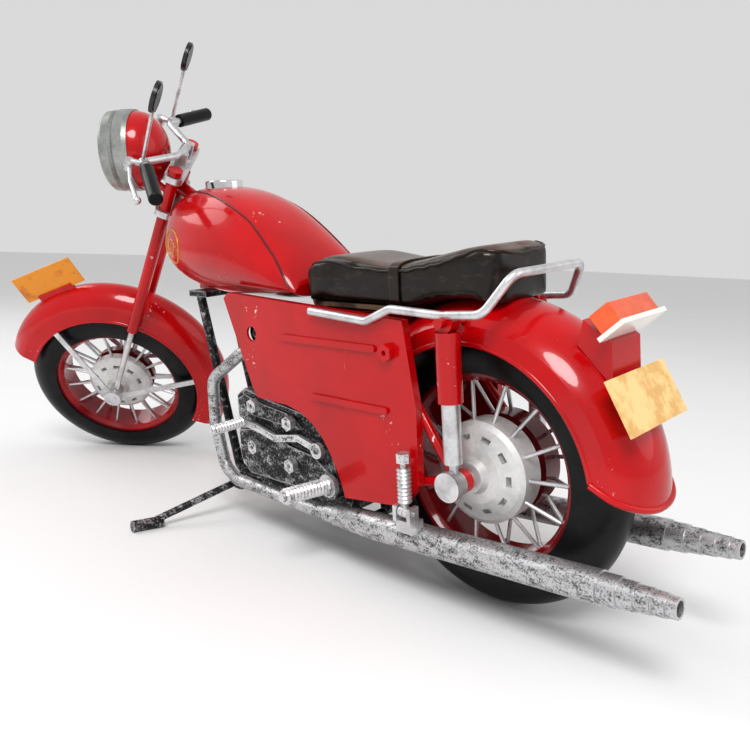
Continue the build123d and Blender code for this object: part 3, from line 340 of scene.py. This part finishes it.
redPaint = glossPaint("redPaint", (0.40, 0.0015, 0.0040), (0.54, 0.0025, 0.0060), (0.75, 0.62, 0.58), 0.66)
darkRedPaint = glossPaint(
    "darkRedPaint", (0.08, 0.006, 0.010), (0.20, 0.010, 0.016), (0.03, 0.012, 0.012), 0.62,
)
rimPaint = glossPaint("rimPaint", (0.16, 0.006, 0.010), (0.36, 0.010, 0.014), (0.55, 0.50, 0.48), 0.66)
whitePaint = glossPaint("whitePaint", (0.62, 0.60, 0.55), (0.84, 0.83, 0.79), (0.45, 0.38, 0.30), 0.62, 0.4)
silverPaint = metalPaint("silverPaint", (0.40, 0.40, 0.41), (0.76, 0.76, 0.77), 0.28, 0.42, 0.80)
greyRim = metalPaint("greyRim", (0.20, 0.21, 0.20), (0.40, 0.41, 0.39), 0.26, 0.42, 0.70)
palePaint = metalPaint("palePaint", (0.50, 0.50, 0.49), (0.74, 0.74, 0.73), 0.38, 0.52, 0.45)
chromeCap = metalPaint("chromeCap", (0.62, 0.62, 0.63), (0.88, 0.88, 0.89), 0.08, 0.16, 1.0, 300.0, 0.03)
agedMetal = rubbedMetal("agedMetal", (0.010, 0.010, 0.011), (0.55, 0.55, 0.56), 0.545, 1.5)
pipeMetal = rubbedMetal("pipeMetal", (0.035, 0.035, 0.036), (0.60, 0.60, 0.61), 0.450, 2.2)
tubeMetal = rubbedMetal("tubeMetal", (0.006, 0.006, 0.007), (0.50, 0.50, 0.51), 0.575, 0.9, 0.3)
brightMetal = rubbedMetal("brightMetal", (0.05, 0.05, 0.05), (0.72, 0.72, 0.73), 0.44, 1.3)
tyreRubber = rubber("tyreRubber", (0.004, 0.004, 0.0045), (0.022, 0.021, 0.020), 0.26, 0.44, 900.0)
gripRubber = rubber("gripRubber", (0.004, 0.004, 0.004), (0.018, 0.016, 0.016), 0.24, 0.36, 800.0)
seatLeather = seatHide("seatLeather", (0.105, 0.050, 0.028), (0.014, 0.009, 0.006))
strapLeather = seatHide("strapLeather", (0.060, 0.030, 0.018), (0.026, 0.016, 0.010))
seatBoard = agedPlate("seatBoard", (0.16, 0.10, 0.06), (0.05, 0.03, 0.02), 0.5, 0.6)
yellowPlate = agedPlate("yellowPlate", (0.80, 0.56, 0.24), (0.66, 0.38, 0.12), 0.50, 0.40)
amberPlate = agedPlate("amberPlate", (0.74, 0.28, 0.008), (0.56, 0.17, 0.006), 0.40, 0.16)
orangeLens = ribbedLens("orangeLens", (0.62, 0.06, 0.008), (0.86, 0.13, 0.014), 260.0)
clearLens = ribbedLens("clearLens", (0.62, 0.61, 0.56), (0.86, 0.85, 0.80), 220.0)
mirrorSkin = mirrorShade("mirrorSkin")
badgeGold = metalPaint("badgeGold", (0.48, 0.22, 0.04), (0.78, 0.42, 0.08), 0.25, 0.40, 0.60)

finishes = {
    "red_paint": redPaint, "dark_red_paint": darkRedPaint, "red_rim_paint": rimPaint,
    "silver_paint": silverPaint, "aged_metal": agedMetal, "chrome_cap": chromeCap,
    "seat_leather": seatLeather, "seat_board": seatBoard, "white_paint": whitePaint,
    "orange_lens": orangeLens, "clear_lens": clearLens, "yellow_plate": yellowPlate,
    "amber_plate": amberPlate, "tyre_rubber": tyreRubber, "grip_rubber": gripRubber,
}
closer = {  # pieces whose wear differs from the rest of their slot
    "silencers": pipeMetal, "header_pipes": pipeMetal, "rider_pegs": brightMetal,
    "passenger_peg_left": brightMetal, "passenger_peg_right": brightMetal, "lower_frame": tubeMetal,
    "headlight_rim": greyRim, "rear_drum_left": palePaint, "front_drum_left": palePaint,
    "mirrors": mirrorSkin, "gear_lever": brightMetal, "engine_nuts": brightMetal,
}
for part in frame["record"]["subparts"]:
    piece = nodes[part["node"]]
    finish = closer.get(part["node"], finishes[part["material_slot"]])
    for slot in piece.material_slots:
        slot.material = finish
    if not piece.material_slots:
        piece.data.materials.append(finish)
print("materials on the frame")


def newest(name):
    piece = bpy.context.object
    piece.name = piece.data.name = name
    return piece


def skinOf(piece):  # rays and nearest points on a finished mesh
    mesh = piece.data
    return BVHTree.FromPolygons([v.co[:] for v in mesh.vertices], [p.vertices[:] for p in mesh.polygons])


def eased(places, turns):  # the corners of a line smoothed away, its ends kept
    for turn in range(turns):
        inner = [(a + b * 2 + c) / 4 for a, b, c in zip(places, places[1:], places[2:])]
        places = [places[0]] + inner + [places[-1]]
    return places


def tubeAlong(name, points, radius, closed=False, sides=3):  # a bead, piping or wire on a smooth line
    dropSelection()
    line = bpy.data.curves.new(name, "CURVE")
    line.dimensions = "3D"
    spline = line.splines.new("POLY")
    spline.points.add(len(points) - 1)
    for point, place in zip(spline.points, points):
        point.co = (*place, 1)
    spline.use_cyclic_u = closed
    line.bevel_depth = radius
    line.bevel_resolution = sides
    line.use_fill_caps = not closed
    piece = bpy.data.objects.new(name, line)
    bpy.context.scene.collection.objects.link(piece)
    pickOnly(piece)
    bpy.ops.object.convert(target="MESH")
    settle(piece)
    return newest(name)


cushion = {"voxel": 1.3, "pressure": 4.0, "cap": 1.1, "frames": 20, "grow": 10.0, "shrink": 0.975}


def seatCushion():
    piece = nodes["seat"].copy()
    piece.data = nodes["seat"].data.copy()
    piece.name = piece.data.name = "seatCushion"
    bpy.context.scene.collection.objects.link(piece)
    piece.parent = None
    piece.matrix_world = Matrix.Identity(4)
    pickOnly(piece)
    bpy.ops.object.mode_set(mode="EDIT")
    bpy.ops.mesh.select_all(action="SELECT")
    bpy.ops.mesh.remove_doubles(threshold=0.00001)
    bpy.ops.object.mode_set(mode="OBJECT")
    low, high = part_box("seat")
    middle = (low + high) / 2
    for vert in piece.data.vertices:  # a tenfold, slightly slimmer copy about the middle, for the cloth solver
        vert.co = (vert.co - middle) * cushion["grow"] * cushion["shrink"]
    remesh = piece.modifiers.new("even", "REMESH")
    remesh.mode = "VOXEL"
    remesh.voxel_size = cushion["voxel"] * cushion["grow"] / 1000
    applyAll(piece)
    rest = [vert.co.copy() for vert in piece.data.vertices]
    cloth = piece.modifiers.new("puff", "CLOTH")
    cloth.settings.use_pressure = True
    cloth.settings.uniform_pressure_force = cushion["pressure"]
    cloth.settings.effector_weights.gravity = 0
    cloth.point_cache.frame_start, cloth.point_cache.frame_end = 1, cushion["frames"]
    for step in range(1, cushion["frames"] + 1):
        bpy.context.scene.frame_set(step)
    applyAll(piece)
    bpy.context.scene.frame_set(1)
    cap = cushion["cap"] * cushion["grow"] / 1000
    lowest = min(place.z for place in rest)
    for vert, place in zip(piece.data.vertices, rest):
        move = vert.co - place
        if move.length > cap:
            move *= cap / move.length
        if place.z < lowest + cap and move.z < 0:  # flat where it rests on its board
            move.z = 0
        vert.co = middle + (place + move) / cushion["grow"]
    smooth = piece.modifiers.new("soften", "SMOOTH")
    smooth.factor, smooth.iterations = 0.5, 4
    finer = piece.modifiers.new("finer", "SUBSURF")
    finer.levels = finer.render_levels = 1
    applyAll(piece)
    pickOnly(piece)
    bpy.ops.object.shade_smooth()
    handOver(piece, "frame", seatLeather)
    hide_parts("seat")
    return piece


cushionPiece = seatCushion()
cushionSkin = skinOf(cushionPiece)
print("seat cushion", len(cushionPiece.data.vertices))


def onCushion(start, way, lift):  # where a line of sight meets the cushion
    place, normal, face, far = cushionSkin.ray_cast(start, way)
    return (place + normal * lift) if place else None


seatTrim = {"front": 74.5, "rear": -11.0, "half": 15.9, "squareness": 7.0, "pipe": 0.55, "steps": 150}


def seatPiping():
    line = []
    front, rear, width = seatTrim["front"], seatTrim["rear"], seatTrim["half"]
    length, middleX = (front - rear) / 2, (front + rear) / 2
    power = seatTrim["squareness"]
    for step in range(seatTrim["steps"]):
        angle = math.tau * step / seatTrim["steps"]
        reach = Vector((math.cos(angle), math.sin(angle)))
        size = (abs(reach.x / length) ** power + abs(reach.y / width) ** power) ** (-1 / power)
        x, y = middleX + reach.x * size, reach.y * size
        hit = onCushion(upright(x, y, 135), upright(0, 0, 0) - upright(0, 0, 1), 0.0)
        if hit:
            line.append(hit + (upright(0, 0, 0.15) - upright(0, 0, 0)))
    piece = tubeAlong("seatPiping", line, seatTrim["pipe"] / 1000, True)
    handOver(piece, "frame", strapLeather)
    return piece


seatPiping()

band = {"x": 29.0, "width": 4.4, "thick": 0.7, "low": 102.6, "turns": 56}


def seatBand():
    dropSelection()
    bpy.ops.mesh.primitive_grid_add(x_subdivisions=6, y_subdivisions=band["turns"], size=1)
    piece = newest("seatBand")
    for vert in piece.data.vertices:
        across, along = vert.co.x, vert.co.y + 0.5
        swing = math.radians(-12 + 204 * along)
        x = band["x"] + across * band["width"]
        middle = upright(x, 0, 104.5)
        way = upright(x, math.cos(swing), 104.5 + math.sin(swing)) - middle
        hit = onCushion(middle + way.normalized() * 0.06, -way.normalized(), 0.00015)
        vert.co = hit if hit else middle + way.normalized() * 0.017
    thick = piece.modifiers.new("thick", "SOLIDIFY")
    thick.thickness, thick.offset = band["thick"] / 1000, -1
    edge = piece.modifiers.new("edge", "BEVEL")
    edge.width, edge.segments, edge.limit_method = 0.00018, 2, "ANGLE"
    applyAll(piece)
    pickOnly(piece)
    bpy.ops.object.mode_set(mode="EDIT")
    bpy.ops.mesh.select_all(action="SELECT")
    bpy.ops.mesh.normals_make_consistent(inside=False)
    bpy.ops.object.mode_set(mode="OBJECT")
    smoothed(piece)
    handOver(piece, "frame", strapLeather)
    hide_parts("seat_strap")


seatBand()
print("seat trimmed")

tankSkin = skinOf(nodes["fuel_tank"])
seams = {
    "line": [(154, 9, 144), (127, 13, 138), (105, 15, 129), (88.5, 18, 117), (78, 20, 105)],
    "bead": 0.45, "steps": 14, "easing": 6, "lift": 0.00005,
}


def tankSeam(side):
    corners = [Vector((x, side * y, z)) for x, y, z in seams["line"]]
    places = []
    for first, second in zip(corners, corners[1:]):
        for step in range(seams["steps"]):
            share = step / seams["steps"]
            places.append(first.lerp(second, share))
    onTank = []
    for place in eased(places, seams["easing"]):
        near, normal = tankSkin.find_nearest(upright(*place))[:2]
        onTank.append(near + normal * seams["lift"])
    piece = tubeAlong("tankSeamLeft" if side > 0 else "tankSeamRight", onTank, seams["bead"] / 1000)
    handOver(piece, "frame", darkRedPaint)


tankSeam(1)
tankSeam(-1)

badge = {
    "centre": (152.5, 19.0, 121.0), "long": 8.4, "tall": 7.2, "wire": 0.36, "points": 56,
    "inner": 0.42, "innerWire": 0.8, "lift": 0.00003,
}


def tankBadge(side):
    x, y, z = badge["centre"]
    centre, normal = tankSkin.find_nearest(upright(x, side * y, z))[:2]
    forward = (upright(1, 0, 0) - upright(0, 0, 0)).normalized()
    above = normal.cross(forward).normalized()
    if above.z < 0:
        above.negate()
    forward = (forward - normal * forward.dot(normal)).normalized()

    def onSide(u, v):
        start = centre + forward * (u / 1000) + above * (v / 1000) + normal * 0.01
        place, out = tankSkin.ray_cast(start, -normal)[:2]
        return place + out * badge["lift"]

    label = "Left" if side > 0 else "Right"
    for name, share, wire in (("badgeRing", 1.0, 1.0), ("badgeInnerRing", badge["inner"], badge["innerWire"])):
        ring = []
        for step in range(badge["points"]):
            angle = math.tau * step / badge["points"]
            ring.append(onSide(badge["long"] * share * math.cos(angle), badge["tall"] * share * math.sin(angle)))
        piece = tubeAlong(name + label, ring, badge["wire"] / 1000 * wire, True)
        handOver(piece, "frame", badgeGold)
    for count, way in enumerate((1, -1)):  # a plain bar either side of the inner ring
        bar = [onSide(way * badge["long"] * (0.50 + 0.30 * step / 8), 0) for step in range(9)]
        piece = tubeAlong("badgeBar" + label + str(count + 1), bar, badge["wire"] / 1000)
        handOver(piece, "frame", badgeGold)


tankBadge(1)
tankBadge(-1)
print("tank seams and badges on")

guardEnd = {  # mm, and degrees round the wheel
    "hubZ": 48.0, "bead": 44.0, "crown": 57.5, "half": 18.0, "low": 170.0, "high": 181.0,
    "roll": 1.1, "steps": 48, "easing": 5,
}


def guardRoll():
    skin = skinOf(nodes["rear_mudguard"])

    def onWheel(radius, angle):
        turn = math.radians(angle)
        return radius * math.cos(turn), guardEnd["hubZ"] + radius * math.sin(turn)

    lowX, lowZ = onWheel(guardEnd["bead"], guardEnd["low"])
    highX, highZ = onWheel(guardEnd["crown"], guardEnd["high"])
    places = []
    for step in range(guardEnd["steps"] + 1):
        swing = math.pi * (step / guardEnd["steps"] - 0.5)
        share = max(math.cos(swing), 0.0) ** 0.62
        side = guardEnd["half"] * math.copysign(abs(math.sin(swing)) ** 0.75, math.sin(swing))
        x, z = lowX + (highX - lowX) * share, lowZ + (highZ - lowZ) * share
        places.append(skin.find_nearest(upright(x, side, z))[0])
    piece = tubeAlong("rearGuardRoll", eased(places, guardEnd["easing"]), guardEnd["roll"] / 1000, sides=4)
    handOver(piece, "frame", redPaint)


guardRoll()

panelHole = {"x": 98.6, "z": 87.9, "inside": 20.6, "radius": 4.6, "thick": 0.8, "bolt": 1.5}


# a dark disc behind each panel hole stands in for the painted shade inside the hole, with a bolt head raised in
# its middle
def holeBack(side):
    dropSelection()
    radius, thick = panelHole["radius"] / 1000, panelHole["thick"] / 1000
    bpy.ops.mesh.primitive_cylinder_add(vertices=48, radius=radius, depth=thick)
    piece = newest("panelHoleBack" + ("Left" if side > 0 else "Right"))
    bpy.ops.object.mode_set(mode="EDIT")
    bpy.ops.mesh.select_all(action="DESELECT")
    bpy.ops.object.mode_set(mode="OBJECT")
    for face in piece.data.polygons:
        face.select = face.normal.z > 0.9
    bpy.ops.object.mode_set(mode="EDIT")
    bpy.ops.mesh.select_mode(type="FACE")
    bpy.ops.mesh.inset(thickness=(panelHole["radius"] - panelHole["bolt"]) / 1000)
    bpy.ops.mesh.extrude_region_move(TRANSFORM_OT_translate={"value": (0, 0, 0.0012)})
    bpy.ops.mesh.inset(thickness=0.0004)
    bpy.ops.object.mode_set(mode="OBJECT")
    outward = upright(0, side, 0) - upright(0, 0, 0)
    turn = outward.to_track_quat("Z", "Y").to_matrix().to_4x4()
    centre = upright(panelHole["x"], side * panelHole["inside"], panelHole["z"])
    piece.matrix_world = Matrix.Translation(centre) @ turn
    settle(piece)
    smoothed(piece)
    handOver(piece, "frame", tubeMetal)


holeBack(1)
holeBack(-1)

studio = {"floorGrey": 0.80, "key": 5.6, "fill": 1.2, "rim": 2.4, "world": 0.60}


def floorShade():
    shade = Shade("floorCard")
    grey = studio["floorGrey"]
    shade.colour(shade.ramp(shade.noise(6.0, 3.0), [(0.3, (grey * 0.98,) * 3), (0.7, (grey,) * 3)]))
    shade.rough(shade.levels(shade.noise(400.0, 3.0), 0.75, 0.9))
    return shade.material


dropSelection()
bpy.ops.mesh.primitive_plane_add(size=12, location=(0, 0, 0))
floor = bpy.context.object
floor.name = "floorCard"
floor.data.materials.append(floorShade())


def addLight(name, place, aim, size, power):
    bpy.ops.object.light_add(type="AREA", location=place)
    lamp = bpy.context.object
    lamp.name = name
    lamp.data.shape = "DISK"
    lamp.data.size = size
    lamp.data.energy = power
    lamp.rotation_mode = "QUATERNION"
    lamp.rotation_quaternion = (Vector(aim) - Vector(place)).to_track_quat("-Z", "Y")


addLight("keyLight", (-0.45, 0.55, 0.80), (0, 0, 0.08), 0.42, studio["key"])
addLight("fillLight", (-0.9, -0.5, 0.5), (0, 0, 0.08), 0.8, studio["fill"])
addLight("rimLight", (0.8, 0.3, 0.7), (0, 0, 0.08), 0.7, studio["rim"])
world = bpy.data.worlds.new("studioAir")
world.use_nodes = True
world.node_tree.nodes["Background"].inputs["Color"].default_value = (1, 1, 1, 1)
world.node_tree.nodes["Background"].inputs["Strength"].default_value = studio["world"]
bpy.context.scene.world = world

viewer = {
    "place": (-0.25496, 0.20789, 0.11711), "ahead": (0.68078, -0.71544, -0.15715),
    "above": (0.13490, -0.08841, 0.98691), "lens": 37.68,
}
bpy.ops.object.camera_add(location=viewer["place"])
camera = bpy.context.object
ahead, above = Vector(viewer["ahead"]).normalized(), Vector(viewer["above"]).normalized()
aside = ahead.cross(above).normalized()
camera.rotation_mode = "QUATERNION"
camera.rotation_quaternion = Matrix((aside, above, -ahead)).transposed().to_quaternion()
camera.data.lens = viewer["lens"]
camera.data.sensor_width = 36.0
camera.data.clip_start, camera.data.clip_end = 0.005, 50.0
bpy.context.scene.camera = camera
bpy.context.scene.view_settings.view_transform = "Standard"
bpy.context.scene.view_settings.look = "Medium High Contrast"
print("floor, lights and camera ready")
